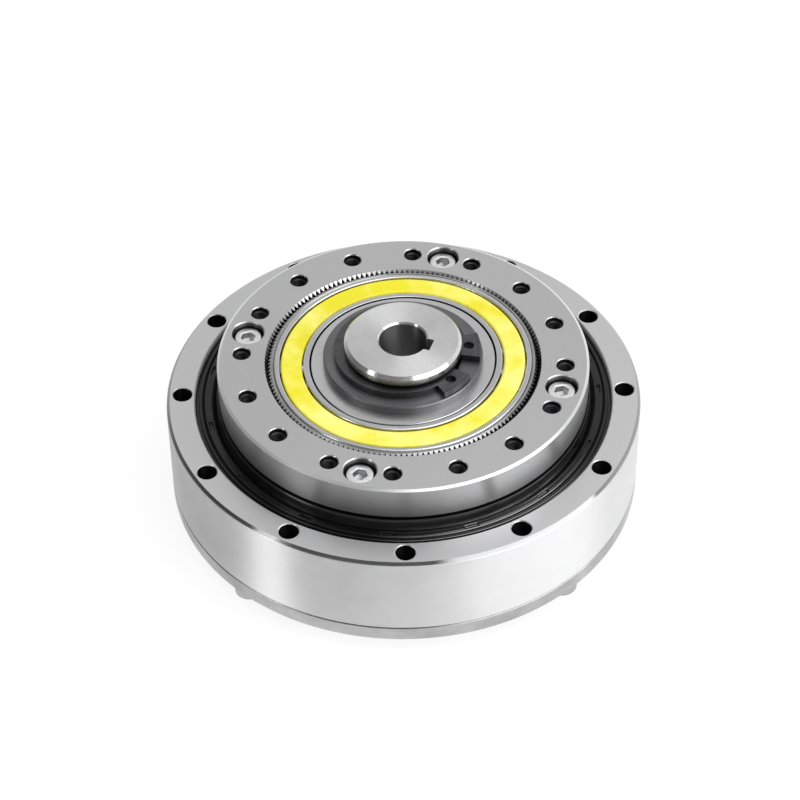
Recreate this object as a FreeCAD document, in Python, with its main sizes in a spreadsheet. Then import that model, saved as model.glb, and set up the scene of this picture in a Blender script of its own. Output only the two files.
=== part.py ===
"""Strain wave gear unit of the hat type with a crossed roller output bearing.

Millimetres, +Z up along the common axis. The origin is on the axis in the flange's mounting face, and
+X points at one of the twelve outer bolt holes. The unit is drawn with its wave at rest.
"""
import FreeCAD, Part
import Sketcher
import math
import os
import re

doc = FreeCAD.newDocument("gear_unit")

# Driving dimensions

DIMENSIONS = {
    # Outer ring and the flange under it
    "unit_radius": 45.0,
    "flange_thickness": 3.0,
    "ring_height": 17.0,
    "ring_chamfer": 0.6,
    "parting_chamfer": 0.15,
    "seal_seat_radius": 39.6,
    "seal_seat_depth": 5.4,
    "edge_break": 0.2,
    "housing_circle_radius": 42.0,
    "housing_hole_radius": 1.8,
    "housing_hole_count": 12,
    # Crossed rollers
    "roller_pitch_radius": 36.6,
    "roller_height": 9.5,
    "roller_radius": 2.0,
    "roller_length": 3.8,
    "roller_chamfer": 0.3,
    "roller_clearance": 0.02,
    "rollers_each_way": 24,
    "raceway_gap": 0.4,
    "raceway_relief": 0.2,
    "spacer_radius": 1.6,
    "spacer_play": 0.12,
    # Split inner ring
    "inner_ring_bore": 27.6,
    "inner_ring_floor": 3.6,
    "inner_ring_top": 15.5,
    # Circular spline
    "output_face": 28.4,
    "output_radius": 35.0,
    "output_chamfer": 0.5,
    "output_chamfer_drop": 0.3,
    "spigot_depth": 1.5,
    "spigot_wall": 1.0,
    "spigot_clearance": 0.05,
    "output_circle_radius": 30.5,
    "output_hole_radius": 1.5,
    "output_hole_depth": 6.5,
    "output_hole_chamfer": 0.35,
    "output_hole_count": 16,
    "output_hole_angle": -4.0,
    "screw_sink": 1.1,
    "screw_set": 4,
    # Teeth
    "flexspline_teeth": 160,
    "circular_spline_teeth": 162,
    "tooth_module": 0.3175,
    "tooth_flank_angle": 30.0,
    "tooth_addendum": 0.28,
    "tooth_dedendum": 0.37,
    "tooth_backlash": 0.07,
    "tooth_length": 10.2,
    "tooth_end": 0.6,
    "tooth_end_margin": 0.04,
    "wave_angle": 61.0,
    # Flexspline cup
    "rim_drop": 0.2,
    "rim_wall": 0.6,
    "rim_edge": 0.25,
    "cup_wall": 0.55,
    "diaphragm_floor": 1.1,
    "diaphragm_thickness": 0.8,
    "diaphragm_outer_radius": 36.4,
    "cup_neck": 3.0,
    "cup_fillet": 1.6,
    # Cap screws
    "screw_radius": 1.45,
    "screw_core_radius": 1.24,
    "screw_head_radius": 2.75,
    "screw_head_height": 3.0,
    "screw_head_chamfer": 0.3,
    "screw_socket": 2.5,
    "screw_socket_depth": 1.4,
    "thread_clearance": 0.04,
    "head_clearance": 0.3,
    "flange_screw_circle": 41.5,
    "flange_screw_length": 8.0,
    "flange_screw_hole": 1.6,
    "flange_screw_angle": 45.0,
    "output_screw_length": 20.0,
    "output_screw_hole": 1.7,
    "tapped_depth_spare": 0.8,
    # Oil seal
    "seal_clearance": 0.06,
    "seal_lip_height": 1.3,
    "seal_lip_width": 0.5,
    "seal_step": 0.8,
    "seal_rim_drop": 0.5,
    "seal_valley_depth": 0.5,
    "seal_ridge_width": 0.55,
    "seal_band_outer": 37.75,
    "seal_band_inner": 36.35,
    "seal_skin": 0.5,
    "seal_case_wall": 0.6,
    "seal_case_width": 2.4,
    "seal_notch_count": 15,
    "seal_notch_angle": 1.0,
    "seal_notch_length": 3.2,
    "seal_notch_width": 0.7,
    "seal_notch_depth": 0.5,
    # Flexible ball bearing
    "bearing_width": 8.0,
    "bearing_drop": 0.1,
    "race_bore": 17.7,
    "inner_shoulder": 18.9,
    "ball_pitch_radius": 21.15,
    "ball_radius": 2.5,
    "ball_clearance": 0.1,
    "ball_count": 21,
    "outer_shoulder": 23.45,
    "race_fit": 0.02,
    "race_edge": 0.22,
    "separator_gap": 0.28,
    "separator_roof": 1.15,
    "separator_edge": 0.45,
    "separator_finger_drop": 1.2,
    "separator_finger_inset": 1.2,
    "separator_mouth": 4.4,
    # Wave generator
    "plug_drop": 0.2,
    "plug_bore_clearance": 0.15,
    "plug_edge": 0.3,
    "washer_radius": 15.0,
    "washer_thickness": 1.7,
    "hub_radius": 11.0,
    "hub_top": 33.5,
    "hub_chamfer": 0.6,
    "bore_radius": 4.5,
    "bore_chamfer": 0.3,
    "key_width": 3.0,
    "key_reach": 5.7,
    "key_angle": -19.0,
    "hub_flange_radius": 14.8,
    "hub_flange_thickness": 2.4,
    "coupling_socket_radius": 15.3,
    "coupling_socket_depth": 4.2,
    "coupling_play": 0.1,
    "tongue_width": 5.0,
    "tongue_height": 1.3,
    "insert_thickness": 2.9,
    # Snap ring
    "snap_ring_thickness": 1.2,
    "snap_ring_radius": 12.5,
    "snap_ring_offset": 0.5,
    "snap_groove_radius": 10.25,
    "snap_ring_play": 0.05,
    "snap_lug_reach": 14.6,
    "snap_lug_span": 27.0,
    "snap_hole_radius": 1.0,
    "snap_hole_circle": 12.35,
    "snap_hole_angle": 23.6,
    "snap_gap_angle": 21.0,
    "snap_angle": -21.0,
}

sheet = doc.addObject("Spreadsheet::Sheet", "Sizes")
for row, (alias, number) in enumerate(DIMENSIONS.items(), start=1):
    sheet.set(f"A{row}", alias)
    sheet.set(f"B{row}", str(number))
    sheet.setAlias(f"B{row}", alias)
doc.recompute()

WORD = re.compile(r"[a-z]+(?:_[a-z]+)+")

# Sizes that follow from the driving ones, as formulas of the sheet's names

DERIVED = {
    "ring_top": "flange_thickness + ring_height",
    "seal_seat": "ring_top - seal_seat_depth",
    "raceway_reach": "(roller_radius + roller_clearance) * sqrt(2)",
    "outer_raceway": "roller_pitch_radius + raceway_gap",
    "inner_raceway": "roller_pitch_radius - raceway_gap",
    "wave_height": "tooth_module * (circular_spline_teeth - flexspline_teeth) / 2",
    "flex_pitch": "tooth_module * flexspline_teeth / 2",
    "spline_pitch": "tooth_module * circular_spline_teeth / 2",
    "tooth_floor": "output_face - tooth_length",
    "rim_top": "output_face - rim_drop",
    "rim_bore": "flex_pitch - tooth_dedendum - rim_wall",
    "diaphragm_top": "diaphragm_floor + diaphragm_thickness",
    "neck_top": "diaphragm_top + cup_neck",
    "bearing_top": "output_face - bearing_drop",
    "bearing_floor": "bearing_top - bearing_width",
    "ball_height": "bearing_top - bearing_width / 2",
    "groove_radius": "ball_radius + ball_clearance",
    "plug_top": "output_face - plug_drop",
    "plug_bore": "hub_radius + plug_bore_clearance",
    "washer_top": "plug_top + washer_thickness",
    "snap_floor": "washer_top + snap_ring_play",
    "snap_top": "snap_floor + snap_ring_thickness",
    "socket_roof": "bearing_floor + coupling_socket_depth",
    "insert_top": "socket_roof - coupling_play",
    "insert_floor": "insert_top - insert_thickness",
    "hub_step": "insert_floor - coupling_play",
    "hub_floor": "hub_step - hub_flange_thickness",
    "screw_seat": "output_face - screw_sink - screw_head_height",
    "screw_sink_radius": "screw_head_radius + head_clearance",
    "tapped_radius": "screw_core_radius + thread_clearance",
    "output_screw_angle": "output_hole_angle - 180 / output_hole_count",
    "seal_bore": "output_radius + seal_clearance",
    "seal_top": "ring_top - seal_rim_drop",
    "seal_shelf": "seal_top - seal_step",
    "seal_outer": "seal_seat_radius - seal_skin",
}


def spelled(formula):
    """The formula with every derived name written out in the sheet's own names."""
    while any(word in DERIVED for word in WORD.findall(formula)):
        formula = WORD.sub(lambda m: f"({DERIVED[m[0]]})" if m[0] in DERIVED else m[0], formula)
    return formula


def bound(formula):
    """The formula as an expression that reads the spreadsheet."""
    return WORD.sub(lambda m: f"Sizes.{m[0]}", spelled(formula))


def value(formula):
    """The formula's number with the sheet's present sizes."""
    return float(sheet.evalExpression(bound(formula)))


# Building blocks

def new_body(label):
    """An empty body whose tip may hold several separate solids."""
    body = doc.addObject("PartDesign::Body", label)
    body.Label = label
    body.AllowCompound = True
    return body


def origin_feature(body, role):
    """One of the body's own origin planes or axes."""
    return next(item for item in body.Origin.OriginFeatures if item.Role == role)


def new_sketch(body, name, role, height="0", turn="0"):
    """A sketch on an origin plane, lifted off it along its normal or turned about the vertical axis."""
    sketch = body.newObject("Sketcher::SketchObject", name)
    sketch.AttachmentSupport = (origin_feature(body, role), [""])
    sketch.MapMode = "FlatFace"
    pole = FreeCAD.Vector(0, 0, 1) if role == "XY_Plane" else FreeCAD.Vector(0, 1, 0)
    lift = FreeCAD.Vector(0, 0, value(height))
    sketch.AttachmentOffset = FreeCAD.Placement(lift, FreeCAD.Rotation(pole, value(turn)))
    if height != "0":
        sketch.setExpression("AttachmentOffset.Base.z", bound(height))
    if turn != "0":
        sketch.setExpression("AttachmentOffset.Rotation.Angle", bound(turn))
    return sketch


def hold(sketch, kind, places, formula):
    """A dimension of the sketch that follows a formula of the sheet."""
    index = sketch.addConstraint(Sketcher.Constraint(kind, *places, value(formula)))
    sketch.setExpression(f"Constraints[{index}]", bound(formula))


def hold_point(sketch, line, point, across, up):
    """A point of the sketch held at a place given by two formulas."""
    for kind, axis, formula in (("DistanceX", -2, across), ("DistanceY", -1, up)):
        if formula == "0":
            sketch.addConstraint(Sketcher.Constraint("PointOnObject", line, point, axis))
        else:
            hold(sketch, kind, (-1, 1, line, point), formula)


def draw_outline(sketch, corners):
    """A closed outline through corners given as pairs of formulas, each held to the sketch's origin."""
    first = sketch.GeometryCount
    points = [FreeCAD.Vector(value(across), value(up), 0) for across, up in corners]
    for here, there in zip(points, points[1:] + points[:1]):
        sketch.addGeometry(Part.LineSegment(here, there))
    for index, (across, up) in enumerate(corners):
        line = first + index
        after = first + (index + 1) % len(corners)
        sketch.addConstraint(Sketcher.Constraint("Coincident", line, 2, after, 1))
        hold_point(sketch, line, 1, across, up)


def draw_circle(sketch, radius, across="0", up="0"):
    """A circle with its centre at a place given by two formulas."""
    centre = FreeCAD.Vector(value(across), value(up), 0)
    circle = sketch.addGeometry(Part.Circle(centre, FreeCAD.Vector(0, 0, 1), value(radius)))
    hold_point(sketch, circle, 3, across, up)
    hold(sketch, "Radius", (circle,), radius)


def draw_wave(sketch, radius):
    """The ellipse that a circle of this radius takes when the wave bends it, long axis along X."""
    long_half = f"{radius} + wave_height"
    short_half = f"{radius} - wave_height"
    long_end = FreeCAD.Vector(value(long_half), 0, 0)
    short_end = FreeCAD.Vector(0, value(short_half), 0)
    curve = sketch.addGeometry(Part.Ellipse(long_end, short_end, FreeCAD.Vector(0, 0, 0)))
    sketch.exposeInternalGeometry(curve)
    sketch.addConstraint(Sketcher.Constraint("Coincident", curve, 3, -1, 1))
    sketch.addConstraint(Sketcher.Constraint("PointOnObject", curve + 1, 1, -1))
    hold(sketch, "Distance", (curve + 1,), f"2 * ({long_half})")
    hold(sketch, "Distance", (curve + 2,), f"2 * ({short_half})")


def turned(body, name, corners, kind="Revolution", axis="V_Axis", turn="0"):
    """A turned form, or with kind Groove a turned cut, of an outline in the XZ plane."""
    sketch = new_sketch(body, f"{name}_outline", "XZ_Plane", turn=turn)
    draw_outline(sketch, corners)
    feature = body.newObject(f"PartDesign::{kind}", name)
    feature.Profile = sketch
    feature.ReferenceAxis = (sketch, [axis])
    feature.Angle = 360
    body.Tip = feature
    doc.recompute()
    return feature


def raised(body, name, sketch, length, kind="Pad", reverse=False):
    """A pad, or with kind Pocket a pocket, of a sketch over a length."""
    feature = body.newObject(f"PartDesign::{kind}", name)
    feature.Profile = sketch
    feature.setExpression("Length", bound(length))
    feature.Reversed = reverse
    body.Tip = feature
    doc.recompute()
    return feature


def repeated(body, name, features, count):
    """Copies of features spread evenly round the vertical axis."""
    pattern = body.newObject("PartDesign::PolarPattern", name)
    pattern.Originals = features
    pattern.Axis = (origin_feature(body, "Z_Axis"), [""])
    pattern.Angle = 360
    pattern.setExpression("Occurrences", bound(count))
    body.Tip = pattern
    doc.recompute()
    return pattern


def drilled(body, name, circle, steps, count, turn="0"):
    """A ring of stepped holes: steps are radius and height pairs from one end of the hole to the other."""
    low, high = steps[0][1], steps[-1][1]
    axis = [(circle, low), (circle, high)]
    wall = [(f"{circle} + {radius}", height) for radius, height in reversed(steps)]
    hole = turned(body, name, axis + wall, kind="Groove", axis="Edge1", turn=turn)
    return repeated(body, f"{name}_ring", [hole], count)


def softened(body, name, size, radius, height, kind="Fillet"):
    """A fillet, or a chamfer, on the edge at this height whose circle, bent or not, has this radius."""
    base = body.Tip
    names = []
    for index, edge in enumerate(base.Shape.Edges, start=1):
        reach = {Part.Circle: "0", Part.Ellipse: "wave_height"}.get(type(edge.Curve))
        if reach is None or not math.isclose(edge.Curve.Center.z, value(height), abs_tol=1e-6):
            continue
        span = edge.Curve.Radius if reach == "0" else edge.Curve.MajorRadius
        if math.isclose(span, value(f"{radius} + {reach}"), abs_tol=1e-6):
            names.append(f"Edge{index}")
    feature = body.newObject(f"PartDesign::{kind}", name)
    feature.Base = (base, names)
    feature.setExpression("Radius" if kind == "Fillet" else "Size", bound(size))
    body.Tip = feature
    doc.recompute()


def wave_ring(body, name, bore, outside, floor, height):
    """A ring bent by the wave, between two nested ellipses."""
    sketch = new_sketch(body, f"{name}_outline", "XY_Plane", height=floor, turn="wave_angle")
    draw_wave(sketch, outside)
    draw_wave(sketch, bore)
    return raised(body, name, sketch, height)


def ball_groove(body):
    """The ball track, a round section carried along the bent pitch line."""
    path = new_sketch(body, "ball_path", "XY_Plane", height="ball_height", turn="wave_angle")
    draw_wave(path, "ball_pitch_radius")
    section = new_sketch(body, "ball_section", "XZ_Plane", turn="wave_angle")
    draw_circle(section, "groove_radius", across="ball_pitch_radius + wave_height", up="ball_height")
    groove = body.newObject("PartDesign::SubtractivePipe", "ball_track")
    groove.Profile = section
    groove.Spine = path
    groove.Mode = "Frenet"
    body.Tip = groove
    doc.recompute()


def cap_screws(label, circle, head_end, seat, grip_end, tip, turn, upright):
    """A ring of socket cap screws; threaded ends are drawn at their core diameter."""
    body = new_body(label)
    side = "-" if upright else "+"
    rim = f"{head_end} {side} screw_head_chamfer"
    steps = [("screw_head_radius - screw_head_chamfer", head_end), ("screw_head_radius", rim),
             ("screw_head_radius", seat), ("screw_radius", seat), ("screw_radius", grip_end),
             ("screw_core_radius", grip_end), ("screw_core_radius", tip)]
    axis = [(circle, tip), (circle, head_end)]
    wall = [(f"{circle} + {radius}", height) for radius, height in steps]
    blank = turned(body, "blank", axis + wall, axis="Edge1", turn=turn)
    sketch = new_sketch(body, "socket_outline", "XY_Plane", height=head_end, turn=turn)
    corner = "screw_socket / sqrt(3)"
    hexagon = [(f"{circle} + {corner} * cos({60 * k + 30})", f"{corner} * sin({60 * k + 30})")
               for k in range(6)]
    draw_outline(sketch, hexagon)
    socket = raised(body, "socket", sketch, "screw_socket_depth", kind="Pocket", reverse=not upright)
    repeated(body, "set", [blank, socket], "screw_set")
    return body


# Outer ring of the crossed roller bearing

outer_ring = new_body("bearing_outer_ring")
turned(outer_ring, "blank", [
    ("outer_raceway", "flange_thickness"),
    ("unit_radius - parting_chamfer", "flange_thickness"),
    ("unit_radius", "flange_thickness + parting_chamfer"),
    ("unit_radius", "ring_top - ring_chamfer"),
    ("unit_radius - ring_chamfer", "ring_top"),
    ("seal_seat_radius + edge_break", "ring_top"),
    ("seal_seat_radius", "ring_top - edge_break"),
    ("seal_seat_radius", "seal_seat"),
    ("outer_raceway", "seal_seat"),
    ("outer_raceway", "roller_height + raceway_reach - raceway_gap"),
    ("roller_pitch_radius + raceway_reach - raceway_relief", "roller_height + raceway_relief"),
    ("roller_pitch_radius + raceway_reach - raceway_relief", "roller_height - raceway_relief"),
    ("outer_raceway", "roller_height - raceway_reach + raceway_gap"),
])
drilled(outer_ring, "housing_holes", "housing_circle_radius", [
    ("housing_hole_radius", "flange_thickness"),
    ("housing_hole_radius", "ring_top - edge_break"),
    ("housing_hole_radius + edge_break", "ring_top"),
], "housing_hole_count")
drilled(outer_ring, "flange_screw_taps", "flange_screw_circle", [
    ("tapped_radius", "flange_thickness"),
    ("tapped_radius", "flange_screw_length + tapped_depth_spare"),
], "screw_set", turn="flange_screw_angle")

# Flexspline: a hat whose brim is the mounting flange and whose rim carries the outer teeth

hat = new_body("flexspline_hat")
turned(hat, "brim", [
    ("rim_bore", "diaphragm_floor"),
    ("diaphragm_outer_radius - diaphragm_floor", "diaphragm_floor"),
    ("diaphragm_outer_radius", "edge_break"),
    ("diaphragm_outer_radius + edge_break", "0"),
    ("unit_radius - parting_chamfer", "0"),
    ("unit_radius", "parting_chamfer"),
    ("unit_radius", "flange_thickness - parting_chamfer"),
    ("unit_radius - parting_chamfer", "flange_thickness"),
    ("diaphragm_outer_radius + edge_break", "flange_thickness"),
    ("diaphragm_outer_radius - diaphragm_floor", "diaphragm_top"),
    ("rim_bore + cup_wall", "diaphragm_top"),
    ("rim_bore + cup_wall", "neck_top"),
    ("rim_bore", "neck_top"),
])
softened(hat, "neck_root", "cup_fillet", "rim_bore + cup_wall", "diaphragm_top")
softened(hat, "neck_edge", "cup_fillet + cup_wall", "rim_bore", "diaphragm_floor")
drilled(hat, "housing_holes", "housing_circle_radius", [
    ("housing_hole_radius + edge_break", "0"),
    ("housing_hole_radius", "edge_break"),
    ("housing_hole_radius", "flange_thickness"),
], "housing_hole_count")
drilled(hat, "screw_holes", "flange_screw_circle", [
    ("flange_screw_hole", "0"),
    ("flange_screw_hole", "flange_thickness"),
], "screw_set", turn="flange_screw_angle")
foot = new_sketch(hat, "cup_foot", "XY_Plane", height="neck_top", turn="wave_angle")
draw_circle(foot, "rim_bore + cup_wall")
draw_circle(foot, "rim_bore")
head = new_sketch(hat, "cup_head", "XY_Plane", height="tooth_floor", turn="wave_angle")
draw_wave(head, "rim_bore + cup_wall")
draw_wave(head, "rim_bore")
doc.recompute()
cup = hat.newObject("PartDesign::AdditiveLoft", "cup")
cup.Profile = foot
cup.Sections = [head]
cup.Ruled = True
hat.Tip = cup
doc.recompute()


def tooth_outline(teeth, pitch, wave):
    """Corners of an outer toothed outline, each tooth carried along and tilted with the bent pitch line."""
    slope = math.tan(math.radians(value("tooth_flank_angle")))
    half_tooth = (math.pi * value("tooth_module") - value("tooth_backlash")) / 4
    tip = value("tooth_addendum")
    root = -value("tooth_dedendum")
    corners = []
    for index in range(teeth):
        angle = 2 * math.pi * index / teeth
        reach = pitch + wave * math.cos(2 * angle)
        place = angle - wave / (2 * pitch) * math.sin(2 * angle)
        tilt = 1.5 * wave / pitch * math.sin(2 * angle)
        for height, side in ((root, -1), (tip, -1), (tip, 1), (root, 1)):
            across = side * (half_tooth - height * slope)
            outward = reach + height * math.cos(tilt) - across * math.sin(tilt)
            sideways = height * math.sin(tilt) + across * math.cos(tilt)
            corners.append(FreeCAD.Vector(outward, sideways, 0))
            corners[-1] = FreeCAD.Rotation(FreeCAD.Vector(0, 0, 1), math.degrees(place)) * corners[-1]
    return corners


def bent_ring(radius, height):
    """An ellipse, the circle of this radius bent by the wave, at a height over the rim's foot."""
    wave = value("wave_height")
    centre = FreeCAD.Vector(0, 0, height)
    long_end = centre + FreeCAD.Vector(radius + wave, 0, 0)
    short_end = centre + FreeCAD.Vector(0, radius - wave, 0)
    return Part.Wire(Part.Ellipse(long_end, short_end, centre).toShape())


def toothed_rim():
    """The rim of the cup: a toothed outline with a bent bore, its tooth ends cut off at a slant."""
    corners = tooth_outline(round(value("flexspline_teeth")), value("flex_pitch"), value("wave_height"))
    outline = Part.makePolygon(corners + corners[:1])
    section = Part.Face(outline).cut(Part.Face(bent_ring(value("rim_bore"), 0)))
    height = value("rim_top - tooth_floor")
    rim = section.extrude(FreeCAD.Vector(0, 0, height))
    mouth = [edge for edge in rim.Edges if isinstance(edge.Curve, Part.Ellipse)
             and math.isclose(edge.Curve.Center.z, height, abs_tol=1e-6)]
    rim = rim.makeChamfer(value("rim_edge"), mouth)
    slant_floor = height - value("tooth_end")
    wide = bent_ring(value("flex_pitch + tooth_addendum + tooth_end_margin"), slant_floor)
    narrow = bent_ring(value("flex_pitch - tooth_dedendum - tooth_end_margin"), height)
    slant = Part.makeLoft([wide, narrow], True, True)
    disc = Part.makeCylinder(value("spline_pitch + tooth_module * 4"), value("tooth_end"),
                             FreeCAD.Vector(0, 0, slant_floor))
    return rim.cut(disc.cut(slant))


teeth = doc.addObject("Part::Feature", "flexspline_rim")
teeth.Shape = toothed_rim()
teeth.Placement = FreeCAD.Placement(FreeCAD.Vector(0, 0, value("tooth_floor")),
                                    FreeCAD.Rotation(FreeCAD.Vector(0, 0, 1), value("wave_angle")))
flexspline = doc.addObject("Part::Fuse", "flexspline")
flexspline.Base = hat
flexspline.Tool = teeth
flexspline.Label = "flexspline"

# Cap screws that hold the flange to the outer ring from below

flange_screws = cap_screws("flange_screws", "flange_screw_circle", "0 - screw_head_height", "0",
                           "flange_thickness", "flange_screw_length", "flange_screw_angle", False)

# Oil seal: a steel ring of L section covered by rubber, with a lip that rises along the circular spline

seal_case = new_body("seal_case")
turned(seal_case, "ring", [
    ("seal_outer - seal_case_wall", "seal_seat"),
    ("seal_outer", "seal_seat"),
    ("seal_outer", "seal_shelf"),
    ("seal_outer - seal_case_width", "seal_shelf"),
    ("seal_outer - seal_case_width", "seal_shelf - seal_case_wall"),
    ("seal_outer - seal_case_wall", "seal_shelf - seal_case_wall"),
])

oil_seal = new_body("oil_seal")
turned(oil_seal, "rubber", [
    ("seal_seat_radius", "seal_seat"),
    ("seal_seat_radius", "seal_shelf + seal_valley_depth / 2"),
    ("seal_seat_radius - seal_step", "seal_shelf + seal_valley_depth / 2"),
    ("seal_seat_radius - seal_step", "seal_top"),
    ("seal_seat_radius - seal_step - seal_ridge_width", "seal_top"),
    ("seal_band_outer + seal_ridge_width / 4", "seal_top - seal_valley_depth"),
    ("seal_band_outer", "seal_top"),
    ("seal_band_inner", "seal_top"),
    ("seal_band_inner - seal_ridge_width / 4", "seal_top - seal_valley_depth"),
    ("seal_band_inner - seal_ridge_width", "seal_top"),
    ("seal_bore + seal_lip_width / 2", "ring_top + seal_lip_height"),
    ("seal_bore", "ring_top + seal_lip_height"),
    ("seal_bore", "seal_top - seal_valley_depth"),
    ("seal_bore + seal_lip_width", "seal_shelf - seal_case_wall"),
    ("seal_outer - seal_case_width", "seal_shelf - seal_case_wall"),
    ("seal_outer - seal_case_width", "seal_shelf"),
    ("seal_outer", "seal_shelf"),
    ("seal_outer", "seal_seat"),
])
notch = new_sketch(oil_seal, "notch_outline", "XY_Plane", height="seal_top", turn="seal_notch_angle")
notch_middle = "(seal_band_inner + seal_band_outer) / 2"
draw_outline(notch, [
    (f"{notch_middle} - seal_notch_width / 2", "0 - seal_notch_length / 2"),
    (f"{notch_middle} + seal_notch_width / 2", "0 - seal_notch_length / 2"),
    (f"{notch_middle} + seal_notch_width / 2", "seal_notch_length / 2"),
    (f"{notch_middle} - seal_notch_width / 2", "seal_notch_length / 2"),
])
notch_cut = raised(oil_seal, "notch", notch, "seal_notch_depth", kind="Pocket")
repeated(oil_seal, "notches", [notch_cut], "seal_notch_count")

# Split inner ring of the crossed roller bearing

inner_ring_lower = new_body("inner_ring_lower")
turned(inner_ring_lower, "half", [
    ("inner_ring_bore", "inner_ring_floor"),
    ("inner_raceway - edge_break", "inner_ring_floor"),
    ("inner_raceway", "inner_ring_floor + edge_break"),
    ("inner_raceway", "roller_height - raceway_reach + raceway_gap"),
    ("roller_pitch_radius - raceway_reach + raceway_relief", "roller_height - raceway_relief"),
    ("roller_pitch_radius - raceway_reach + raceway_relief", "roller_height"),
    ("inner_ring_bore", "roller_height"),
])
drilled(inner_ring_lower, "taps", "output_circle_radius", [
    ("tapped_radius", "inner_ring_floor"),
    ("tapped_radius", "roller_height"),
], "screw_set", turn="output_screw_angle")

inner_ring_upper = new_body("inner_ring_upper")
turned(inner_ring_upper, "half", [
    ("inner_ring_bore", "roller_height"),
    ("roller_pitch_radius - raceway_reach + raceway_relief", "roller_height"),
    ("roller_pitch_radius - raceway_reach + raceway_relief", "roller_height + raceway_relief"),
    ("inner_raceway", "roller_height + raceway_reach - raceway_gap"),
    ("inner_raceway", "inner_ring_top - edge_break"),
    ("inner_raceway - edge_break", "inner_ring_top"),
    ("inner_ring_bore", "inner_ring_top"),
])
drilled(inner_ring_upper, "screw_holes", "output_circle_radius", [
    ("output_screw_hole", "roller_height"),
    ("output_screw_hole", "inner_ring_top"),
], "screw_set", turn="output_screw_angle")

# Circular spline: the output ring with inner teeth, on a spigot in the inner ring

circular_spline = new_body("circular_spline")
spigot_radius = "inner_ring_bore - spigot_clearance"
turned(circular_spline, "blank", [
    (f"{spigot_radius} - spigot_wall", "inner_ring_top - spigot_depth"),
    (spigot_radius, "inner_ring_top - spigot_depth"),
    (spigot_radius, "inner_ring_top"),
    ("output_radius - edge_break", "inner_ring_top"),
    ("output_radius", "inner_ring_top + edge_break"),
    ("output_radius", "output_face - output_chamfer_drop"),
    ("output_radius - output_chamfer", "output_face"),
    ("spline_pitch + tooth_dedendum - tooth_end_margin", "output_face"),
    ("spline_pitch - tooth_addendum", "output_face - tooth_end"),
    ("spline_pitch - tooth_addendum", "tooth_floor"),
    (f"{spigot_radius} - spigot_wall", "tooth_floor"),
])
slope = "tan(tooth_flank_angle)"
half_space = "(pi * tooth_module + tooth_backlash) / 4"
space = new_sketch(circular_spline, "space_outline", "XY_Plane", height="tooth_floor", turn="wave_angle")
draw_outline(space, [
    ("spline_pitch - tooth_dedendum", f"0 - {half_space} - tooth_dedendum * {slope}"),
    ("spline_pitch + tooth_dedendum", f"tooth_dedendum * {slope} - {half_space}"),
    ("spline_pitch + tooth_dedendum", f"{half_space} - tooth_dedendum * {slope}"),
    ("spline_pitch - tooth_dedendum", f"{half_space} + tooth_dedendum * {slope}"),
])
space_cut = raised(circular_spline, "space", space, "tooth_length", kind="Pocket", reverse=True)
repeated(circular_spline, "teeth", [space_cut], "circular_spline_teeth")
drilled(circular_spline, "output_holes", "output_circle_radius", [
    ("output_hole_radius / 8", "output_face - output_hole_depth - output_hole_radius / 2"),
    ("output_hole_radius", "output_face - output_hole_depth"),
    ("output_hole_radius", "output_face - output_hole_chamfer"),
    ("output_hole_radius + output_hole_chamfer", "output_face"),
], "output_hole_count", turn="output_hole_angle")
drilled(circular_spline, "screw_sinks", "output_circle_radius", [
    ("output_screw_hole", "inner_ring_top"),
    ("output_screw_hole", "screw_seat"),
    ("screw_sink_radius", "screw_seat"),
    ("screw_sink_radius", "output_face - edge_break"),
    ("screw_sink_radius + edge_break", "output_face"),
], "screw_set", turn="output_screw_angle")

# Cap screws that hold circular spline and inner ring together

output_screws = cap_screws("output_screws", "output_circle_radius", "screw_seat + screw_head_height",
                           "screw_seat", "roller_height", "screw_seat - output_screw_length",
                           "output_screw_angle", True)

# Crossed rollers, every second one leaning the other way, with flat spacers between them


def roller_set(label, lean, turn):
    """One half of the rollers: a turned roller leaning in or out by 45 degrees, spread round the ring."""
    body = new_body(label)
    half = "roller_length / 2"
    trimmed = f"({half} - roller_chamfer)"
    slim = "(roller_radius - roller_chamfer)"
    outline = [(f"0 - {half}", "0"), (half, "0"), (half, slim), (trimmed, "roller_radius"),
               (f"0 - {trimmed}", "roller_radius"), (f"0 - {half}", slim)]
    corners = [(f"roller_pitch_radius + ({along} - {lean} * {out}) / sqrt(2)",
                f"roller_height + ({lean} * {along} + {out}) / sqrt(2)")
               for along, out in ((f"({a})", f"({o})") for a, o in outline)]
    roller = turned(body, "roller", corners, axis="Edge1", turn=turn)
    repeated(body, "ring", [roller], "rollers_each_way")
    return body


roller_step = "360 / rollers_each_way"
rollers_a = roller_set("rollers_a", "1", "0")
rollers_b = roller_set("rollers_b", "(0 - 1)", f"{roller_step} / 2")

roller_spacers = new_body("roller_spacers")
chord = f"2 * roller_pitch_radius * sin({roller_step} / 4)"
spacer_half = f"({chord} / 2 - roller_radius - spacer_play)"
spacer_middle = f"roller_pitch_radius * cos({roller_step} / 4)"
disc = new_sketch(roller_spacers, "disc_outline", "XZ_Plane", turn=f"{roller_step} / 4")
draw_circle(disc, "spacer_radius", across=spacer_middle, up="roller_height")
spacer = raised(roller_spacers, "disc", disc, f"2 * {spacer_half}")
spacer.Midplane = True
repeated(roller_spacers, "ring", [spacer], "2 * rollers_each_way")

# Flexible ball bearing


def soften_race(body, bore, outside):
    """Rounded edges at both ends of a race."""
    ends = (("top", "bearing_top"), ("floor", "bearing_floor"))
    for end, height in ends:
        softened(body, f"{end}_outer_edge", "race_edge", outside, height)
        softened(body, f"{end}_inner_edge", "race_edge", bore, height)


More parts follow.
